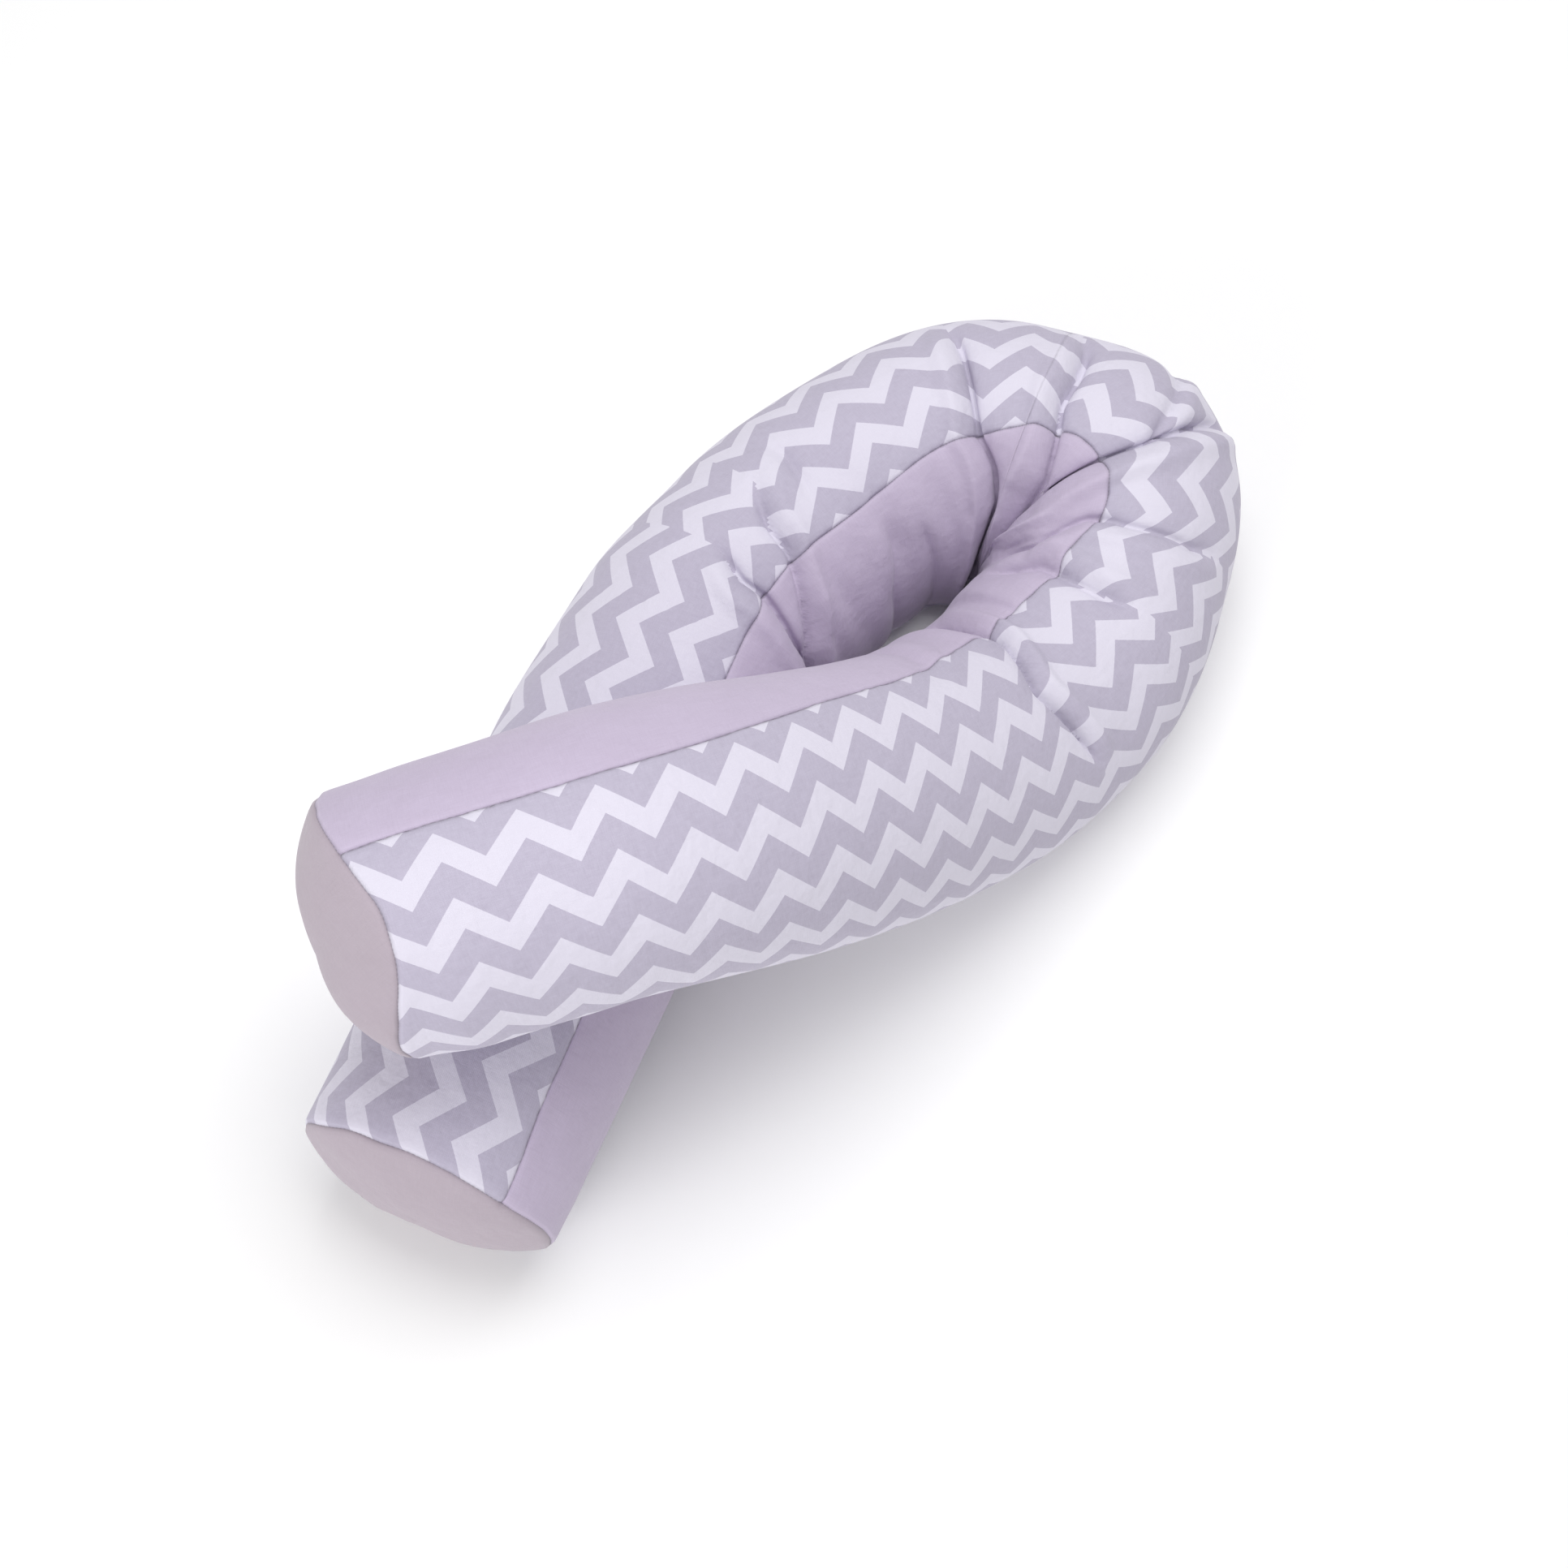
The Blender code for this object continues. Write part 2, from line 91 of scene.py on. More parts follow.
# How far the stuffing stands proud of the tube's outer side: the turn has a blunt corner.
# (distance along the tube, metres out)
CORNER = (
    (0.00, -0.011),
    (0.05, -0.003),
    (0.22, 0.002),
    (0.40, -0.004),
    (0.51, -0.006),
    (0.585, -0.013),
    (0.675, 0.019),
    (0.735, 0.000),
    (0.86, -0.012),
    (0.95, -0.008),
    (1.03, 0.001),
    (1.14, 0.008),
    (1.28, 0.003),
    (1.45, 0.000),
)


def smooth(t):
    t = np.clip(t, 0.0, 1.0)
    return t * t * (3.0 - 2.0 * t)


def eased(stations, at):
    """The values at distances along the tube, eased from each station to the next."""
    at = np.asarray(at, float)
    values = np.full(at.shape, float(stations[0][1]))
    for (at0, value0), (at1, value1) in zip(stations, stations[1:]):
        part = smooth((at - at0) / (at1 - at0))
        values = np.where(at >= at0, value0 + (value1 - value0) * part, values)
    return values


def height(at):
    """How high the middle of the tube lies: on top at the crossing, then down to the floor."""
    drop = (TOP_HEIGHT - REST_HEIGHT) * smooth((at - TOP_AT) / (DOWN_AT - TOP_AT))
    sag = TIP_SAG * np.maximum(0.0, 1.0 - at / TOP_AT) ** 2
    return TOP_HEIGHT - drop - sag


def trace_route():
    """The tube's middle line on the floor: x, y and heading at every step of its length."""
    steps = np.arange(round(PILLOW_LENGTH / ROUTE_STEP) + 1) * ROUTE_STEP
    turns = ROUTE_STEP * eased(BENDS, steps + 0.5 * ROUTE_STEP)
    heading = START_HEADING + np.concatenate([[0.0], np.cumsum(turns)[:-1]])
    middle = heading + 0.5 * ROUTE_STEP * eased(BENDS, steps)
    x = np.concatenate([[0.0], np.cumsum(ROUTE_STEP * np.cos(middle))[:-1]])
    y = np.concatenate([[0.0], np.cumsum(ROUTE_STEP * np.sin(middle))[:-1]])
    return steps, x, y, heading


def unit(vectors):
    return vectors / np.linalg.norm(vectors, axis=-1, keepdims=True)


def lay(at):
    """The middle of the tube at each distance, and the directions along, inward and up."""
    at = np.asarray(at, float)
    steps, x, y, heading = ROUTE
    turned = np.interp(at, steps, heading)
    slope = (height(at + 0.001) - height(at - 0.001)) / 0.002
    slope = np.where(at < 0.001, 2.0 * TIP_SAG / TOP_AT, slope)
    along = unit(np.stack([np.cos(turned), np.sin(turned), slope], -1))
    inward = np.stack([-np.sin(turned), np.cos(turned), np.zeros_like(turned)], -1)
    middle = np.stack([np.interp(at, steps, x), np.interp(at, steps, y), height(at)], -1)
    return middle, along, inward, np.cross(along, inward)


ROUTE = trace_route()
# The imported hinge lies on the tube's middle line, so it says where the route lies.
upper_hinge = next(joint for joint in frame["joints"] if joint["name"] == "upper_arm_swing")
placed = np.array(upper_hinge["pos_m"]) - lay(UPPER_HINGE_AT)[0]
ROUTE = (ROUTE[0], ROUTE[1] + placed[0], ROUTE[2] + placed[1], ROUTE[3])

# ---------------------------------------------------------------- folds in the stuffed tube
# Where a full tube turns, the cloth on its inner side has nowhere to go. It folds in on
# itself in deep creases that run round the tube, and puckers finely along its seams.

# Each fold has its points (degrees up from the inner side, distance along the tube), then
# its depth and width in metres, and which way it leans: towards the lower arm if positive.
FOLDS = {
    "turn_left": (
        (
            (-60, 0.815), (-20, 0.805), (0, 0.785), (30, 0.755), (50, 0.765),
            (65, 0.780), (90, 0.780), (130, 0.780),
        ),
        0.016, 0.0050, 0.5,
    ),
    "turn_far": (
        (
            (10, 0.690), (55, 0.690), (75, 0.705), (90, 0.715), (110, 0.715),
            (140, 0.720),
        ),
        0.017, 0.0050, 0.5,
    ),
    "turn_right": (
        (
            (10, 0.650), (55, 0.650), (75, 0.650), (90, 0.650), (110, 0.650),
            (170, 0.660),
        ),
        0.023, 0.0050, -0.6,
    ),
    "corner": (
        ((110, 0.655), (135, 0.670), (150, 0.680), (175, 0.690)),
        0.009, 0.0045, -0.4,
    ),
    "near_right": (
        (
            (20, 0.555), (45, 0.560), (60, 0.590), (70, 0.600), (90, 0.595),
            (120, 0.595), (145, 0.600),
        ),
        0.010, 0.0050, -0.5,
    ),
    "near_middle": (
        ((30, 0.530), (55, 0.550), (75, 0.545), (90, 0.545), (110, 0.550)),
        0.009, 0.0050, 0.4,
    ),
    "near_long": (
        (
            (20, 0.455), (55, 0.445), (70, 0.445), (100, 0.425), (135, 0.450),
            (150, 0.455),
        ),
        0.012, 0.0050, 0.6,
    ),
    "near_first": (
        ((25, 0.370), (60, 0.360), (80, 0.350)),
        0.0045, 0.0050, 0.3,
    ),
    "arm_deep": (
        (
            (-20, 1.040), (20, 1.020), (35, 1.020), (60, 1.010), (75, 1.010),
            (95, 0.995),
        ),
        0.015, 0.0055, 0.5,
    ),
    "arm_pocket": (
        (
            (-10, 1.015), (20, 1.005), (45, 0.980), (65, 0.960), (80, 0.955),
            (100, 0.940),
        ),
        0.012, 0.0045, -0.5,
    ),
    "arm_back": (
        ((75, 0.925), (85, 0.920), (100, 0.915), (115, 0.915)),
        0.006, 0.0055, 0.4,
    ),
    "wall_left": (
        ((-40, 0.905), (5, 0.905), (30, 0.890), (50, 0.885)),
        0.005, 0.0070, 0.2,
    ),
    "wall_right": (
        ((-40, 0.855), (-15, 0.850), (15, 0.850), (40, 0.855)),
        0.005, 0.0070, -0.2,
    ),
}
FOLD_FADE = 22.0
TIGHTEST_SPREAD = 0.30


def bumps(places, spacing, seed):
    """Smooth noise along one distance, from -1 to 1, the same on every run."""
    draws = np.random.default_rng(seed).uniform(-1.0, 1.0, 4096)
    cell = np.asarray(places, float) / spacing + 1024.0
    low = np.floor(cell).astype(int)
    part = smooth(cell - low)
    return draws[low % 4096] * (1.0 - part) + draws[(low + 1) % 4096] * part


def bumps_round(angle, spacing, seed):
    """Smooth noise round the tube, which meets itself where the round closes."""
    across, rise = HALF_WIDTH * np.cos(angle), HALF_WIDTH * np.sin(angle)
    return 0.7 * (bumps(across, spacing, seed) + bumps(rise, spacing, seed + 100))


def fold_at(points, angle):
    """Where a fold runs at each angle, and how fully it is formed there."""
    degrees, places = zip(*points)
    turned = np.degrees((angle + math.pi / 2) % (2.0 * math.pi) - math.pi / 2)
    middle = np.interp(turned, degrees, places)
    begun = smooth((turned - degrees[0]) / FOLD_FADE + 0.35)
    ended = smooth((degrees[-1] - turned) / FOLD_FADE + 0.15)
    return middle, begun * ended


def spread_at(at, angle):
    """How long a metre of the tube's middle line is at each angle round it, where it bends."""
    return np.maximum(1.0 - eased(BENDS, at) * HALF_WIDTH * np.cos(angle), TIGHTEST_SPREAD)


def folded(at, angle):
    """How far the folds draw the cloth in, and how far they drag it along the tube."""
    spread = spread_at(at, angle)
    drawn = np.zeros(at.shape)
    dragged = np.zeros(at.shape)
    for points, depth, width, lean in FOLDS.values():
        middle, formed = fold_at(points, angle)
        away = (at - middle) * spread
        steep = np.where(away * lean > 0.0, 0.55, 1.9)
        near = np.sqrt(away ** 2 + 0.0006 ** 2) / (width * steep)
        ridge = np.exp(-((away * np.sign(lean) - 2.2 * width) / (1.3 * width)) ** 2)
        drawn += depth * formed * (np.exp(-near) - 0.32 * ridge)
        dragged -= lean * depth * formed * np.exp(-((away / width) ** 2))
    return drawn, dragged


# ---------------------------------------------------------------- the stuffed cover
# The cover is one long sleeve of cotton, sewn from a printed panel and a plain strip and
# closed by a round end at each tip. The stuffing swells it, and the seams hold it in.

AROUND = 112
STRIP_COLUMNS = 34
# (station, distance along the tube): the stations lie closer where the tube turns
STATION_PLACES = ((0, 0.00), (50, 0.36), (246, 1.05), (300, 1.45))
STATIONS = STATION_PLACES[-1][0]
DOME_RINGS = 16
ROWS = STATIONS + 2 * DOME_RINGS
HALVES_MEET_AT = 0.725
# (distance along the tube, degrees up from the inner side)
UPPER_SEAM = (
    (0.00, 76.0),
    (0.16, 78.0),
    (0.30, 68.0),
    (0.42, 62.0),
    (0.54, 65.0),
    (0.655, 84.0),
    (0.78, 65.0),
    (0.90, 58.0),
    (0.98, 62.0),
    (1.15, 58.0),
    (1.37, 50.0),
    (1.45, 46.0),
)
LOWER_SEAM = -33.0
SEAM_PUCKER = 0.0011
EDGE_PUCKER = 0.0042
LOW_BULGE = 0.021
SLANT_ENDS_AT = 0.14
RIM_WAVES = (0.0015, 0.0018)


def seam_angles(at):
    """The angles of the strip's upper and lower seams at each distance along the tube."""
    lower = np.full(np.shape(at), math.radians(LOWER_SEAM))
    return np.radians(eased(UPPER_SEAM, at)), lower


def off_seam(angle, seam):
    """How far each angle is from a seam's, in metres round the tube."""
    return np.abs((angle - seam + math.pi) % (2.0 * math.pi) - math.pi) * HALF_WIDTH


def along_and_angle(row, column):
    """Distance along, angle and how far in towards a tip's middle, for places on the grid."""
    station = row * ROWS - DOME_RINGS
    at = np.interp(station, *zip(*STATION_PLACES))
    beyond = np.maximum(np.maximum(-station, station - STATIONS), 0.0) / DOME_RINGS
    upper, lower = seam_angles(at)
    index = column * AROUND
    strip = lower + (upper - lower) * index / STRIP_COLUMNS
    rest = (index - STRIP_COLUMNS) / (AROUND - STRIP_COLUMNS)
    printed = upper + (lower + 2.0 * math.pi - upper) * rest
    return at, np.where(index <= STRIP_COLUMNS, strip, printed), beyond


# The zip lies in the lower seam of the lower arm. The cover's edges part over its tapes.
ZIP_START = 1.15
ZIP_LENGTH = 0.25
ZIP_OPENING = 0.0062
ZIP_LIFT = 0.0012
ZIP_REACH = 0.020
ZIP_OVERRUN = 0.010
ZIP_TAPER = 0.012


def beside_zip(at, angle):
    """How near a place is to the zip, from 0 to 1."""
    begun = smooth((at - ZIP_START + ZIP_OVERRUN) / ZIP_TAPER)
    ended = smooth((ZIP_START + ZIP_LENGTH + ZIP_OVERRUN - at) / ZIP_TAPER)
    away = off_seam(angle, math.radians(LOWER_SEAM))
    return begun * ended * np.maximum(0.0, 1.0 - away / ZIP_REACH)


def end_slant(at, angle):
    """How far the upper end's rim leans back over the arm, where the arm's tip sags."""
    turned = np.degrees(angle % (2.0 * math.pi))
    lean = END_SLANT * smooth(1.0 - np.abs(turned - 110.0) / 64.0)
    return lean * smooth(1.0 - at / SLANT_ENDS_AT)


def cover_points(row, column):
    """Where the cover's outer face lies, for places on the grid from 0 to 1."""
    at, angle, beyond = along_and_angle(row, column)
    drawn, dragged = folded(at, angle)
    dragged += end_slant(at, angle)
    dragged += RIM_WAVES[0] * bumps_round(angle, 0.018, 21) * smooth(1.0 - at / 0.02)
    dragged += RIM_WAVES[1] * bumps_round(angle, 0.022, 22) * smooth((at - 1.43) / 0.02)
    middle, along, inward, up = lay(at)
    bend = eased(BENDS, at)
    outer = np.maximum(0.0, -np.cos(angle)) ** 1.5
    inner = np.maximum(0.0, np.cos(angle)) ** 2
    swell = eased(CORNER, at) * outer
    swell -= 0.0034 * np.clip(bend / 8.0, 0.15, 1.0) * inner * bumps(at, 0.024, 3)
    swell += 0.0016 * bumps(at, 0.055, 5) * bumps_round(angle, 0.045, 6)
    # Low down, the loop's inner walls bulge towards each other and all but close its hole.
    turned = np.degrees((angle + math.pi) % (2.0 * math.pi) - math.pi)
    low = np.exp(-(((turned + 45.0) / 32.0) ** 2))
    swell += LOW_BULGE * low * smooth((at - 0.34) / 0.08) * smooth((1.04 - at) / 0.08)
    # Along the front of the hole the strip's edge is drawn up in short soft puckers.
    front = smooth((at - 0.36) / 0.07) * smooth((0.66 - at) / 0.05)
    front = np.maximum(front, 0.6 * smooth((at - 0.74) / 0.04) * smooth((1.04 - at) / 0.05))
    edge = np.exp(-(((turned - 34.0) / 28.0) ** 2))
    swell += EDGE_PUCKER * front * bumps(at, 0.018, 13) * edge
    upper, lower = seam_angles(at)
    gather = np.clip(bend / 6.0, 0.12, 1.0)
    for seam, seed in ((upper, 11), (lower, 12)):
        near = np.exp(-((off_seam(angle, seam) / 0.011) ** 2))
        swell += SEAM_PUCKER * gather * bumps(at, 0.009, seed) * near
    quiet = 1.0 - smooth(2.5 * beside_zip(at, angle))
    radius = (swell - drawn) * quiet
    side = inward * (np.cos(angle) * (HALF_WIDTH + radius))[..., None]
    rise = up * (np.sin(angle) * (HALF_HEIGHT + radius))[..., None]
    dome = np.where(row < 0.5, -UPPER_DOME, LOWER_DOME)
    reach = dome * (1.0 - (1.0 - beyond) ** 2.6) * (beyond > 0)
    disc = (1.0 - beyond) * HALF_WIDTH
    soft = bumps(disc * np.cos(angle), 0.035, 31) * bumps(disc * np.sin(angle), 0.030, 32)
    reach += 0.0025 * soft * smooth(beyond / 0.3)
    dragged = dragged * (1.0 - beyond) ** 1.2
    share = (1.0 - beyond)[..., None]
    points = middle + (side + rise) * share + along * (reach + dragged)[..., None]
    points[..., 2] = np.maximum(points[..., 2], 0.0)
    return points


def cover_grid():
    """The sleeve and its two ends as one closed skin, with its grid kept as a UV map."""
    bm = bmesh.new()
    bm.loops.layers.uv.new("grid")
    bmesh.ops.create_grid(bm, x_segments=AROUND, y_segments=ROWS, size=0.5, calc_uvs=True)
    flat = np.array([vert.co for vert in bm.verts])
    for vert, place in zip(bm.verts, cover_points(flat[:, 1] + 0.5, flat[:, 0] + 0.5)):
        vert.co = place
    bmesh.ops.remove_doubles(bm, verts=bm.verts[:], dist=0.00001)
    bmesh.ops.dissolve_degenerate(bm, edges=bm.edges[:], dist=0.000001)
    bmesh.ops.recalc_face_normals(bm, faces=bm.faces[:])
    mesh = bpy.data.meshes.new("Cover")
    bm.to_mesh(mesh)
    bm.free()
    cover = bpy.data.objects.new("Cover", mesh)
    bpy.context.scene.collection.objects.link(cover)
    return cover


def applied(obj):
    """Bakes an object's modifiers into its mesh."""
    graph = bpy.context.evaluated_depsgraph_get()
    made = bpy.data.meshes.new_from_object(obj.evaluated_get(graph))
    obj.modifiers.clear()
    obj.data = made


def corners(mesh):
    """Each face corner's vertex, its face and its place on the grid."""
    vertex = np.empty(len(mesh.loops), int)
    mesh.loops.foreach_get("vertex_index", vertex)
    place = np.empty(len(mesh.loops) * 2)
    mesh.uv_layers["grid"].data.foreach_get("uv", place)
    sizes = np.empty(len(mesh.polygons), int)
    mesh.polygons.foreach_get("loop_total", sizes)
    return vertex, np.repeat(np.arange(len(sizes)), sizes), place.reshape(-1, 2)


# The stuffing's pressure swells the cloth. It has a little spare where the tube turns, and
# is held at the bottoms of its folds and along the zip.
SPARE_CLOTH = 0.07
HELD_WIDTH = 0.0030
MOST_SWELL = 0.007
SWELL_FRAMES = 20


def swell(obj, spare, held, tips):
    """Stuffs the cover by cloth simulation under pressure, with each point's travel capped."""
    before = np.array([vert.co for vert in obj.data.vertices])
    for name, weights in (("spare", spare), ("held", held)):
        group = obj.vertex_groups.new(name=name)
        for index, weight in enumerate(weights):
            if weight > 0.001:
                group.add([index], float(weight), "REPLACE")
    cloth = obj.modifiers.new("Stuffing", "CLOTH")
    settings = cloth.settings
    settings.quality = 6
    settings.mass = 0.25
    settings.tension_stiffness = settings.compression_stiffness = 25.0
    settings.shear_stiffness = 8.0
    settings.bending_stiffness = 0.15
    settings.air_damping = 2.0
    settings.use_pressure = True
    settings.uniform_pressure_force = 4.0
    settings.effector_weights.gravity = 0.0
    settings.vertex_group_mass = "held"
    settings.pin_stiffness = 1.0
    settings.vertex_group_shrink = "spare"
    settings.shrink_min = 0.0
    settings.shrink_max = -SPARE_CLOTH
    cloth.collision_settings.use_collision = False
    for number in range(1, SWELL_FRAMES + 1):
        bpy.context.scene.frame_set(number)
    graph = bpy.context.evaluated_depsgraph_get()
    after = np.array([vert.co for vert in obj.evaluated_get(graph).data.vertices])
    obj.modifiers.clear()
    bpy.context.scene.frame_set(1)
    moved = after - before
    # Each round end's middle moves with the ring about it.
    for middle, ring in tips:
        moved[middle] = moved[ring].mean(axis=0)
    far = np.maximum(np.linalg.norm(moved, axis=1, keepdims=True), 1e-9)
    kept = np.minimum(1.0, MOST_SWELL * np.tanh(far / MOST_SWELL) / far)
    after = before + moved * kept
    after[:, 2] = np.maximum(after[:, 2], 0.0)
    obj.data.vertices.foreach_set("co", after.ravel())
    obj.data.update()


def vertex_places(mesh):
    """Each vertex's distance along, angle and how far in towards a tip's middle."""
    vertex, _, place = corners(mesh)
    row_column = np.zeros((len(mesh.vertices), 2))
    row_column[vertex] = place
    return along_and_angle(row_column[:, 1], row_column[:, 0])


cover = cover_grid()
at, angle, beyond = vertex_places(cover.data)
turned_in = 0.35 + 0.65 * np.cos(angle)
spare = np.clip(eased(BENDS, at) / 6.0, 0.0, 1.0) * np.clip(turned_in + 0.3, 0.15, 1.0)
held = np.zeros(at.shape)
for points, _, _, _ in FOLDS.values():
    middle, formed = fold_at(points, angle)
    near = np.abs(at - middle) * spread_at(at, angle)
    held = np.maximum(held, formed * np.exp(-((near / HELD_WIDTH) ** 2)))
held = np.where(beside_zip(at, angle) > 0.0, 1.0, held)
ends = (at < 0.5 * PILLOW_LENGTH, at > 0.5 * PILLOW_LENGTH)
tips = [(end & (beyond > 0.75), end & (beyond > 0.55) & (beyond < 0.7)) for end in ends]
swell(cover, spare, held, tips)
finer = cover.modifiers.new("Finer", "SUBSURF")
finer.levels = finer.render_levels = 1
finer.uv_smooth = "NONE"
applied(cover)

# A seam pulls the cloth down into a fine groove, deeper at some stitches than at others, and
# each fold closes to a sharp line at its bottom.
SEAM_DEPTH = 0.0011
SEAM_WIDTH = 0.0016
CREASE_SHARE = 0.20
CREASE_WIDTH = 0.0013


def pull_in(mesh):
    """Draws the cloth in along its seams, its rims and the bottoms of its folds."""
    at, angle, beyond = vertex_places(mesh)
    upper, lower = seam_angles(at)
    to_seam = np.minimum(off_seam(angle, upper), off_seam(angle, lower))
    # The round ends have no seams but their rims.
    to_seam += 0.2 * (beyond > 0.001)
    rim = np.where(beyond > 0.0, beyond * HALF_WIDTH, np.minimum(at, PILLOW_LENGTH - at))
    stitches = 1.0 + 0.5 * bumps(at, 0.005, 41)
    depth = SEAM_DEPTH * stitches * np.exp(-to_seam / SEAM_WIDTH)
    stitches = 1.0 + 0.5 * bumps_round(angle, 0.007, 42)
    depth += SEAM_DEPTH * stitches * np.exp(-rim / SEAM_WIDTH)
    spread = spread_at(at, angle)
    for points, fold_depth, _, _ in FOLDS.values():
        middle, formed = fold_at(points, angle)
        near = np.abs(at - middle) * spread / CREASE_WIDTH
        depth += CREASE_SHARE * fold_depth * formed * np.exp(-near) * (beyond <= 0.0)
    depth *= 1.0 - smooth(4.0 * beside_zip(at, angle))
    count = len(mesh.vertices)
    points, normals = np.empty(count * 3), np.empty(count * 3)
    mesh.vertices.foreach_get("co", points)
    mesh.vertex_normals.foreach_get("vector", normals)
    points -= normals * np.repeat(depth, 3)
    points[2::3] = np.maximum(points[2::3], 0.0)
    mesh.vertices.foreach_set("co", points)
    mesh.update()


pull_in(cover.data)

# The folds that take in enough cloth for the print to step across them. The corner's runs on
# to the outer side, where the cloth is stretched smooth, so the print crosses it.
DEEPER_THAN = 0.0085
LAST_DEGREES = 173
FOLDS_MEASURED_AT = math.radians(75.0)
DEEP_FOLDS = sorted(
    (
        points
        for points, depth, _, _ in FOLDS.values()
        if depth > DEEPER_THAN and points[-1][0] < LAST_DEGREES
    ),
    key=lambda points: fold_at(points, FOLDS_MEASURED_AT)[0],
)
fold_places = [float(fold_at(points, FOLDS_MEASURED_AT)[0]) for points in DEEP_FOLDS]
between_folds = [(a + b) / 2.0 for a, b in zip(fold_places, fold_places[1:])]
gore_middles = np.array([TOP_AT] + between_folds + [PILLOW_LENGTH])


def gore_of(at, angle):
    """Which stretch between deep folds a place is in, so that the print steps at each fold."""
    return sum((at > fold_at(points, angle)[0]).astype(int) for points in DEEP_FOLDS)


strip_edge = STRIP_COLUMNS / AROUND
tip_rows = DOME_RINGS / ROWS
stations, station_distances = zip(*STATION_PLACES)
meet_station = round(np.interp(HALVES_MEET_AT, station_distances, stations))
meet_row = (DOME_RINGS + meet_station) / ROWS
CLOTH_STEP = 0.001
FINE_STEPS = np.arange(0.0, PILLOW_LENGTH + CLOTH_STEP, CLOTH_STEP)
FINE_BENDS = eased(BENDS, FINE_STEPS)
FINE_SLOPES = np.hypot(1.0, np.gradient(height(FINE_STEPS), CLOTH_STEP))
# The print's repeat opens a little from the upper arm to the lower arm.
PRINT_EASE = 0.045


def cloth_length(at, angle):
    """The length of cloth from the upper tip to each place, along the line at its angle."""
    bent = np.interp(at, FINE_STEPS, np.cumsum(FINE_BENDS) * CLOTH_STEP)
    slope = np.arctan((height(at + 0.001) - height(at - 0.001)) / 0.002) * (at > TOP_AT)
    sloping = np.interp(at, FINE_STEPS, np.cumsum(FINE_SLOPES) * CLOTH_STEP)
    length = sloping - bent * HALF_WIDTH * np.cos(angle) - slope * HALF_HEIGHT * np.sin(angle)
    return length + end_slant(at, angle)


def part_at_zip(mesh, columns):
    """Draws a piece's edge back from the zip and lifts it over the tape."""
    at, angle, _ = vertex_places(mesh)
    near = beside_zip(at, angle)[:, None]
    if columns == (0.0, 1.0) or near.max() <= 0.0:
        return
    _, _, inward, up = lay(at)
    cosine, sine = np.cos(angle)[:, None], np.sin(angle)[:, None]
    around = unit(up * cosine * HALF_HEIGHT - inward * sine * HALF_WIDTH)
    out = unit(inward * cosine / HALF_WIDTH + up * sine / HALF_HEIGHT)
    side = 1.0 if columns[0] == 0.0 else -1.0
    points = np.array([vert.co for vert in mesh.vertices])
    points += around * side * ZIP_OPENING * near + out * ZIP_LIFT * smooth(near)
    mesh.vertices.foreach_set("co", points.ravel())


def cut_piece(name, columns, rows):
    """The part of the cover between two columns and two rows, as a piece with its own cloth."""
    bm = bmesh.new()
    bm.from_mesh(cover.data)
    grid = bm.loops.layers.uv["grid"]
    spare = []
    for face in bm.faces:
        middle = sum((loop[grid].uv for loop in face.loops), Vector((0.0, 0.0))) / len(face.loops)
        inside = columns[0] < middle.x < columns[1] and rows[0] < middle.y < rows[1]
        if not inside:
            spare.append(face)
    bmesh.ops.delete(bm, geom=spare, context="FACES")
    mesh = bpy.data.meshes.new(name)
    bm.to_mesh(mesh)
    bm.free()
    mesh.shade_smooth()
    piece = bpy.data.objects.new(name, mesh)
    bpy.context.scene.collection.objects.link(piece)
    part_at_zip(mesh, columns)
    vertex, face, place = corners(mesh)
    at, angle, beyond = along_and_angle(place[:, 1], place[:, 0])
    upper, lower = seam_angles(at)
    # The print is cut straight and steps at each fold, where spare cloth is tucked away.
    count = np.bincount(face)
    gore = gore_of(np.bincount(face, at) / count, np.bincount(face, angle) / count)
    home = gore_middles[gore][face]
    straight = cloth_length(home, math.pi) - cloth_length(home, angle)
    length = cloth_length(at, angle) + straight
    length *= 1.0 - PRINT_EASE * length
    across = (angle - upper) * HALF_WIDTH
    if 0.0 in rows or 1.0 in rows:
        # A round end is cut as a flat disc.
        reach = HALF_WIDTH * (1.0 - beyond)
        across, length = reach * np.cos(angle), reach * np.sin(angle)
    cloth = mesh.uv_layers.new(name="cloth")
    cloth.data.foreach_set("uv", np.stack([across, length], -1).ravel())
    return piece


# ---------------------------------------------------------------- the printed panel
# Cotton printed with zigzag rows, grey on white, cut along the rows and sewn to the strip
# along both its edges. It makes the tube's top, outer side and underside.


def linear(red, green, blue):
    """A colour given as 0 to 255 screen values, as light."""
    shares = [value / 255.0 for value in (red, green, blue)]
    return tuple(((s + 0.055) / 1.055) ** 2.4 if s > 0.04045 else s / 12.92 for s in shares)


ZIGZAG_REPEAT = 0.0445
ZIGZAG_HEIGHT = 0.0225
ROW_PITCH = 0.0405
GREY_SHARE = 0.54
FIRST_TIP = 0.0080
ZIGZAG_START = 0.0030
PRINT_WHITE = linear(221, 217, 231)
PRINT_GREY = linear(190, 184, 203)
GREY_DARK = linear(178, 171, 190)
WHITE_DARK = linear(213, 208, 224)
SEAM_SHADE = linear(118, 110, 126)
THREAD = 0.00055


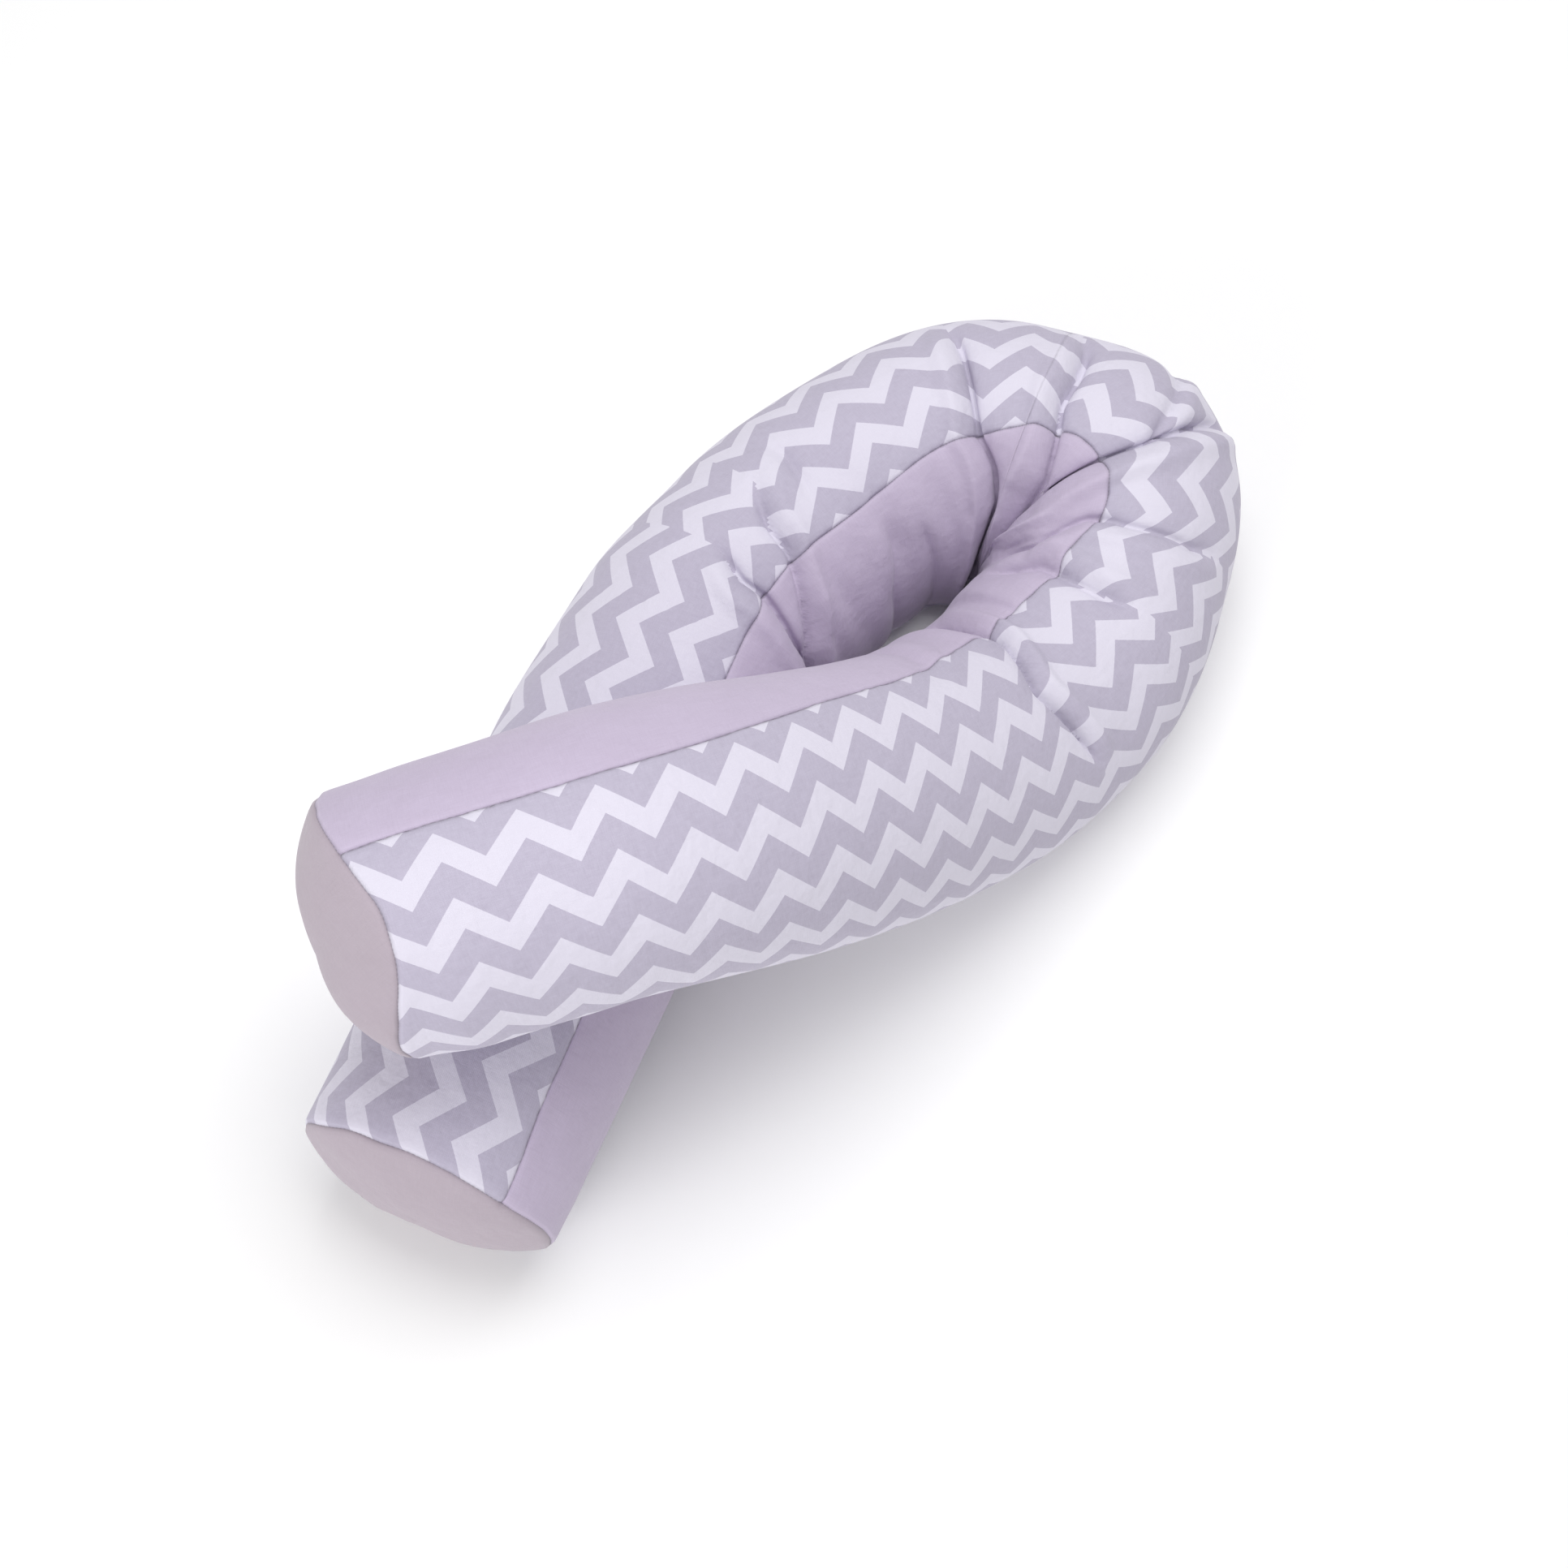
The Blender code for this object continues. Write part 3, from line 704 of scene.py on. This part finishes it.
class Socket:
    """A shader socket that takes Python's arithmetic on numbers that vary over a surface."""

    def __init__(self, tree, output):
        self.tree, self.output = tree, output

    def maths(self, operation, *values):
        node = self.tree.nodes.new("ShaderNodeMath")
        node.operation = operation
        for entry, value in zip(node.inputs, values):
            if isinstance(value, Socket):
                self.tree.links.new(value.output, entry)
            else:
                entry.default_value = value
        return Socket(self.tree, node.outputs[0])

    def __add__(self, other):
        return self.maths("ADD", self, other)

    __radd__ = __add__

    def __sub__(self, other):
        return self.maths("SUBTRACT", self, other)

    def __rsub__(self, other):
        return self.maths("SUBTRACT", other, self)

    def __mul__(self, other):
        return self.maths("MULTIPLY", self, other)

    __rmul__ = __mul__

    def __truediv__(self, other):
        return self.maths("DIVIDE", self, other)

    def fraction(self):
        return self.maths("FRACT", self)

    def size(self):
        return self.maths("ABSOLUTE", self)

    def wave(self):
        return self.maths("SINE", self)

    def limited(self):
        """Held between 0 and 1."""
        return self.maths("MINIMUM", self.maths("MAXIMUM", self, 0.0), 1.0)


class Finish:
    """A material under construction."""

    def __init__(self, name, colour, roughness, metallic=0.0, sheen=0.0):
        self.made = bpy.data.materials.new(name)
        self.made.use_nodes = True
        self.tree = self.made.node_tree
        self.shader = self.tree.nodes["Principled BSDF"]
        self.shader.inputs["Base Color"].default_value = (*colour, 1.0)
        self.shader.inputs["Roughness"].default_value = roughness
        self.shader.inputs["Metallic"].default_value = metallic
        self.shader.inputs["Sheen Weight"].default_value = sheen
        self.shader.inputs["Sheen Roughness"].default_value = 0.5

    def node(self, kind, settings, inputs, output=0):
        node = self.tree.nodes.new(kind)
        for name, value in settings.items():
            setattr(node, name, value)
        for name, value in inputs.items():
            if isinstance(value, Socket):
                self.tree.links.new(value.output, node.inputs[name])
            else:
                node.inputs[name].default_value = value
        return Socket(self.tree, node.outputs[output])

    def axes(self, vector):
        node = self.tree.nodes.new("ShaderNodeSeparateXYZ")
        self.tree.links.new(vector.output, node.inputs[0])
        return [Socket(self.tree, output) for output in node.outputs]

    def noise(self, vector, stretch, detail=2.0, rough=0.5):
        """Noise with features about as long as each number of stretch, in metres."""
        scale = tuple(1.0 / s for s in stretch)
        placed = self.node("ShaderNodeVectorMath", {"operation": "MULTIPLY"}, {0: vector, 1: scale})
        settings = {"noise_dimensions": "3D"}
        inputs = {"Vector": placed, "Scale": 1.0, "Detail": detail, "Roughness": rough}
        return self.node("ShaderNodeTexNoise", settings, inputs)

    def blend(self, share, first, second):
        """A colour between two, each a triple or a socket."""
        node = self.tree.nodes.new("ShaderNodeMix")
        node.data_type = "RGBA"
        for place, value in ((0, share), (6, first), (7, second)):
            if isinstance(value, Socket):
                self.tree.links.new(value.output, node.inputs[place])
            elif isinstance(value, tuple):
                node.inputs[place].default_value = (*value, 1.0)
            else:
                node.inputs[place].default_value = value
        return Socket(self.tree, node.outputs[2])

    def feed(self, name, value):
        self.tree.links.new(value.output, self.shader.inputs[name])

    def bump(self, height, depth, under=None):
        """Relief whose height of 1 stands depth metres proud, over other relief."""
        inputs = {"Height": height, "Distance": depth, "Strength": 1.0}
        if under:
            inputs["Normal"] = under
        return self.node("ShaderNodeBump", {}, inputs)


# The bottom of each seam is painted darker, as painted shade in its groove, with a fine row of
# darker dashes for its stitches.
SHADED_SEAM_WIDTH = 0.0007
STITCH_PITCH = 0.0032
PRINT_COLUMN = 0.0052
TIP_ROW = 0.0072
DOME_ROW = HALF_WIDTH / DOME_RINGS


def seam_shade_and_stitches(finish, round_end=False):
    """How far painted seam shade and stitching darken a place, from 0 to 1."""
    grid = finish.node("ShaderNodeUVMap", {"uv_map": "grid"}, {})
    column, row, _ = finish.axes(grid)
    from_tip = (row - 0.5).size() * -1.0 + (0.5 - tip_rows)
    away = from_tip.size() * (ROWS * (DOME_ROW if round_end else TIP_ROW))
    dashes = (column * (2.0 * math.pi * HALF_WIDTH / STITCH_PITCH * 2.0 * math.pi)).wave()
    rim = (1.0 - away / SHADED_SEAM_WIDTH).limited() * (0.7 + dashes * 0.3)
    if round_end:
        return rim
    from_edge = (column - strip_edge).size()
    from_close = 0.5 - (column - 0.5).size()
    away = from_edge.maths("MINIMUM", from_edge, from_close) * (AROUND * PRINT_COLUMN)
    dashes = (row * (PILLOW_LENGTH / STITCH_PITCH * 2.0 * math.pi)).wave()
    return rim.maths("MAXIMUM", rim, (1.0 - away / SHADED_SEAM_WIDTH).limited() * (0.7 + dashes * 0.3))


def woven(finish, cloth, thread):
    """A plain weave's relief: threads over and under, a height from 0 to 1."""
    across, along, _ = finish.axes(cloth)
    turn = math.pi / thread
    over = (across * turn).wave() * (along * turn).wave()
    return over * 0.5 + 0.5


def zigzag_print(name):
    finish = Finish(name, PRINT_WHITE, 0.82, sheen=0.15)
    cloth = finish.node("ShaderNodeUVMap", {"uv_map": "cloth"}, {})
    place = finish.node("ShaderNodeTexCoord", {}, {}, 3)
    across, along, _ = finish.axes(cloth)
    ragged = finish.noise(cloth, (0.0016, 0.0016, 1.0), 2.0) - 0.5
    saw = ((along + ZIGZAG_START) / ZIGZAG_REPEAT).fraction()
    peak = (saw - 0.5).size() * 4.0 - 1.0
    rows = across - peak * (ZIGZAG_HEIGHT / 2.0) - (FIRST_TIP - ZIGZAG_HEIGHT / 2.0)
    share = ((rows + ragged * 0.0005) / ROW_PITCH).fraction()
    inside = GREY_SHARE / 2.0 - (share - GREY_SHARE / 2.0).size()
    grey = (inside * (ROW_PITCH / 0.0005) + 0.5).limited()
    slub_along = finish.noise(cloth, (0.0007, 0.010, 1.0), 3.0, 0.65)
    slub_across = finish.noise(cloth, (0.010, 0.0007, 1.0), 3.0, 0.65)
    mottle = finish.noise(cloth, (0.004, 0.004, 1.0), 3.0, 0.6)
    slubs = (slub_along + slub_across) * 0.5
    worn = ((slubs - 0.5) * 2.2 + (mottle - 0.5) * 0.9 + 0.4).limited()
    ink = finish.blend(worn, PRINT_GREY, GREY_DARK)
    faded = ((slubs - 0.5) * 1.2 + 0.3).limited()
    ground = finish.blend(faded, PRINT_WHITE, WHITE_DARK)
    printed = finish.blend(grey, ground, ink)
    # Seams are painted darker here: painted shade in their grooves, with their stitches.
    finish.feed("Base Color", finish.blend(seam_shade_and_stitches(finish) * 0.55, printed, SEAM_SHADE))
    finish.feed("Roughness", 0.78 + (slubs - 0.5) * 0.25 + grey * 0.04)
    soft = finish.noise(place, (0.030, 0.030, 0.030), 3.0, 0.55)
    crumple = finish.noise(place, (0.010, 0.010, 0.010), 2.0, 0.5)
    relief = finish.bump(crumple + soft, 0.0011)
    relief = finish.bump(slubs, 0.00022, relief)
    finish.feed("Normal", finish.bump(woven(finish, cloth, THREAD), 0.00006, relief))
    return finish.made


printed_cotton = zigzag_print("Printed_Cotton")
CLOTH_THICKNESS = 0.0009


def cover_piece(name, columns, rows, made_of, nodes):
    """Cuts a piece from the cover, gives it thickness and its finish, and hides the imported nodes
    it stands in for.
    """
    piece = cut_piece(name, columns, rows)
    piece.data.materials.clear()
    piece.data.materials.append(made_of)
    wall = piece.modifiers.new("Cloth", "SOLIDIFY")
    wall.thickness = CLOTH_THICKNESS
    wall.offset = -1.0
    applied(piece)
    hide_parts(*nodes)
    return piece


# The stretch reckoned each side of an arm's hinge: a hand's length.
BEND_REACH = 0.10


def follow(piece, hinge, way):
    """Bakes the piece's placing into its mesh; the tube's middle a stretch each side of the arm's
    hinge is found but not used.
    """
    start = lay(hinge - way * BEND_REACH)[0]
    end = lay(hinge + way * BEND_REACH)[0]
    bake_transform(piece)


strip_span, print_span = (0.0, strip_edge), (strip_edge, 1.0)
upper_span, lower_span = (tip_rows, meet_row), (meet_row, 1.0 - tip_rows)
for half, span, arm, hinge, way in (
    ("Upper", upper_span, "upper_arm", UPPER_HINGE_AT, -1.0),
    ("Lower", lower_span, "lower_arm", LOWER_HINGE_AT, 1.0),
):
    nodes = [
        f"{part}_{layer}"
        for part in (half + "_Arm", "Loop")
        for layer in ("Print_Panel", "Filling", "Inner_Casing")
    ]
    name = half + "_Half_Printed_Panel"
    piece = cover_piece(name, print_span, span, printed_cotton, nodes)
    follow(piece, hinge, way)

# ---------------------------------------------------------------- the plain strip
# A strip of plain lilac cotton lets the tube bend: it lines the loop's inner side, where it
# is gathered, and lies flat along both arms.

STRIP_LILAC = linear(199, 187, 210)
STRIP_DARK = linear(184, 171, 193)


def cotton(finish, cloth, colour, dark, round_end):
    """Plain cotton: its weave, its slubs and its small creases, tinted unevenly."""
    place = finish.node("ShaderNodeTexCoord", {}, {}, 3)
    slub_along = finish.noise(cloth, (0.0006, 0.012, 1.0), 3.0, 0.6)
    slub_across = finish.noise(cloth, (0.012, 0.0006, 1.0), 3.0, 0.6)
    slubs = (slub_along + slub_across) * 0.5
    soft = finish.noise(place, (0.030, 0.030, 0.030), 3.0, 0.55)
    crumple = finish.noise(place, (0.011, 0.011, 0.011), 2.0, 0.5)
    shade = ((slubs - 0.5) * 1.6 + (soft - 0.5) * 0.5 + 0.35).limited()
    plain = finish.blend(shade, colour, dark)
    # Seams are painted darker here: painted shade in their grooves, with their stitches.
    seam = seam_shade_and_stitches(finish, round_end) * 0.6
    finish.feed("Base Color", finish.blend(seam, plain, SEAM_SHADE))
    finish.feed("Roughness", 0.80 + (slubs - 0.5) * 0.2)
    relief = finish.bump(crumple + soft, 0.0010)
    relief = finish.bump(slubs, 0.00022, relief)
    finish.feed("Normal", finish.bump(woven(finish, cloth, THREAD), 0.00006, relief))
    return finish.made


def plain_finish(name, colour, dark, round_end=False):
    finish = Finish(name, colour, 0.80, sheen=0.2)
    cloth = finish.node("ShaderNodeUVMap", {"uv_map": "cloth"}, {})
    return cotton(finish, cloth, colour, dark, round_end)


plain_cotton = plain_finish("Plain_Cotton", STRIP_LILAC, STRIP_DARK)
for half, span, arm, hinge, way in (
    ("Upper", upper_span, "upper_arm", UPPER_HINGE_AT, -1.0),
    ("Lower", lower_span, "lower_arm", LOWER_HINGE_AT, 1.0),
):
    nodes = [half + "_Arm_Plain_Panel", "Loop_Plain_Panel"]
    name = half + "_Half_Plain_Strip"
    piece = cover_piece(name, strip_span, span, plain_cotton, nodes)
    follow(piece, hinge, way)

# ---------------------------------------------------------------- the round ends
# A disc of the same plain cotton closes each end. The stuffing domes it a little, and its
# seam draws small creases in from the rim.

cap_cotton = plain_finish("Cap_Cotton", linear(180, 168, 179), linear(170, 157, 168), True)
for half, span in (("Upper", (0.0, tip_rows)), ("Lower", (1.0 - tip_rows, 1.0))):
    nodes = [half + "_Arm_End_Cap", half + "_Arm_Casing_End"]
    piece = cover_piece(half + "_Round_End", (0.0, 1.0), span, cap_cotton, nodes)
    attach(piece, half.lower() + "_arm")

bpy.data.objects.remove(cover)

# ---------------------------------------------------------------- the zip
# A nylon coil zip closes the cover in the lower seam of the lower arm. Its tapes are woven
# twill, its coils are moulded, and its slider, pull tab and end stops are plated metal.

COIL_PITCH = 0.0016
TWILL_PITCH = 0.0009
_, zip_along, zip_inward, _ = lay(ZIP_START + 0.5 * ZIP_LENGTH)


def on_zip(finish):
    """Distances along the zip and across it, at each place."""
    place = finish.node("ShaderNodeTexCoord", {}, {}, 3)
    dot = {"operation": "DOT_PRODUCT"}
    return [
        finish.node("ShaderNodeVectorMath", dot, {0: place, 1: tuple(way)}, 1)
        for way in (zip_along, zip_inward)
    ]


def tape_finish():
    finish = Finish("Zip_Tape_Twill", linear(222, 220, 226), 0.75, sheen=0.1)
    place = finish.node("ShaderNodeTexCoord", {}, {}, 3)
    along, across = on_zip(finish)
    twill = ((along + across) * (2.0 * math.pi / TWILL_PITCH)).wave() * 0.5 + 0.5
    fuzz = finish.noise(place, (0.0012, 0.0012, 0.0012), 3.0, 0.6)
    shade = (twill * 0.35 + fuzz * 0.6).limited()
    finish.feed("Base Color", finish.blend(shade, linear(205, 202, 211), linear(230, 228, 233)))
    finish.feed("Roughness", 0.68 + fuzz * 0.15)
    finish.feed("Normal", finish.bump(twill + fuzz, 0.00010))
    return finish.made


def coil_finish():
    finish = Finish("Zip_Coil_Nylon", linear(226, 225, 230), 0.38)
    along, _ = on_zip(finish)
    tooth = (along * (math.pi / COIL_PITCH)).wave().size()
    place = finish.node("ShaderNodeTexCoord", {}, {}, 3)
    scuff = finish.noise(place, (0.002, 0.002, 0.002), 2.0)
    # The coil is painted darker in the gaps between its teeth, as painted shade.
    finish.feed("Base Color", finish.blend(tooth, linear(168, 165, 174), linear(230, 229, 233)))
    finish.feed("Roughness", 0.32 + scuff * 0.2)
    finish.feed("Normal", finish.bump(tooth, 0.0005))
    return finish.made


def plated_finish():
    finish = Finish("Zip_Plated_Metal", (0.62, 0.62, 0.64), 0.30, metallic=1.0)
    place = finish.node("ShaderNodeTexCoord", {}, {}, 3)
    brushed = finish.noise(place, (0.0050, 0.0002, 0.0002), 3.0, 0.6)
    worn = finish.noise(place, (0.0016, 0.0016, 0.0016), 3.0, 0.6)
    finish.feed("Base Color", finish.blend(worn, (0.54, 0.54, 0.56), (0.70, 0.70, 0.72)))
    finish.feed("Roughness", 0.20 + worn * 0.16 + brushed * 0.10)
    finish.feed("Normal", finish.bump(brushed, 0.00003))
    return finish.made


zip_finishes = {"Tape": tape_finish(), "Coil": coil_finish(), "metal": plated_finish()}
for name, node in frame["nodes"].items():
    if name.startswith("Zip_"):
        finish = zip_finishes.get(name.split("_")[1], zip_finishes["metal"])
        for number in range(len(node.data.materials)):
            node.data.materials[number] = finish

# ---------------------------------------------------------------- floor, light and camera
# A plain white sweep under even studio light, seen from high in front.

floor_mesh = bmesh.new()
bmesh.ops.create_grid(floor_mesh, x_segments=1, y_segments=1, size=6.0)
floor_data = bpy.data.meshes.new("Floor")
floor_mesh.to_mesh(floor_data)
floor_mesh.free()
floor = bpy.data.objects.new("Floor", floor_data)
floor_finish = Finish("Floor_White", (0.97, 0.97, 0.97), 0.9)
floor_data.materials.append(floor_finish.made)
bpy.context.scene.collection.objects.link(floor)

scene = bpy.context.scene
scene.view_settings.view_transform = "Standard"
world = bpy.data.worlds.new("Studio")
world.use_nodes = True
world.node_tree.nodes["Background"].inputs["Color"].default_value = (1.0, 1.0, 1.0, 1.0)
world.node_tree.nodes["Background"].inputs["Strength"].default_value = 0.49
scene.world = world


def soft_light(name, place, target, size, power):
    light = bpy.data.lights.new(name, "AREA")
    light.shape = "SQUARE"
    light.size = size
    light.energy = power
    lamp = bpy.data.objects.new(name, light)
    lamp.location = place
    lamp.rotation_euler = (Vector(target) - Vector(place)).to_track_quat("-Z", "Y").to_euler()
    scene.collection.objects.link(lamp)


soft_light("Key", (0.3, 0.5, 2.4), (0.0, 0.0, 0.1), 1.6, 36.0)
soft_light("Fill", (-1.5, -1.9, 1.1), (0.0, 0.0, 0.1), 1.6, 26.0)

CAMERA_TURN = math.radians(1.6)
CAMERA_RISE = math.radians(68.52)
CAMERA_DISTANCE = 1.835
aim = Vector((-0.0039, 0.0119, 0.0))
back = Vector(
    (
        -math.sin(CAMERA_TURN) * math.cos(CAMERA_RISE),
        -math.cos(CAMERA_TURN) * math.cos(CAMERA_RISE),
        math.sin(CAMERA_RISE),
    )
)
camera_data = bpy.data.cameras.new("Camera")
camera_data.lens = 58.5
camera_data.sensor_width = 36.0
camera = bpy.data.objects.new("Camera", camera_data)
camera.location = aim + back * CAMERA_DISTANCE
camera.rotation_euler = (-back).to_track_quat("-Z", "Y").to_euler()
scene.collection.objects.link(camera)
scene.camera = camera
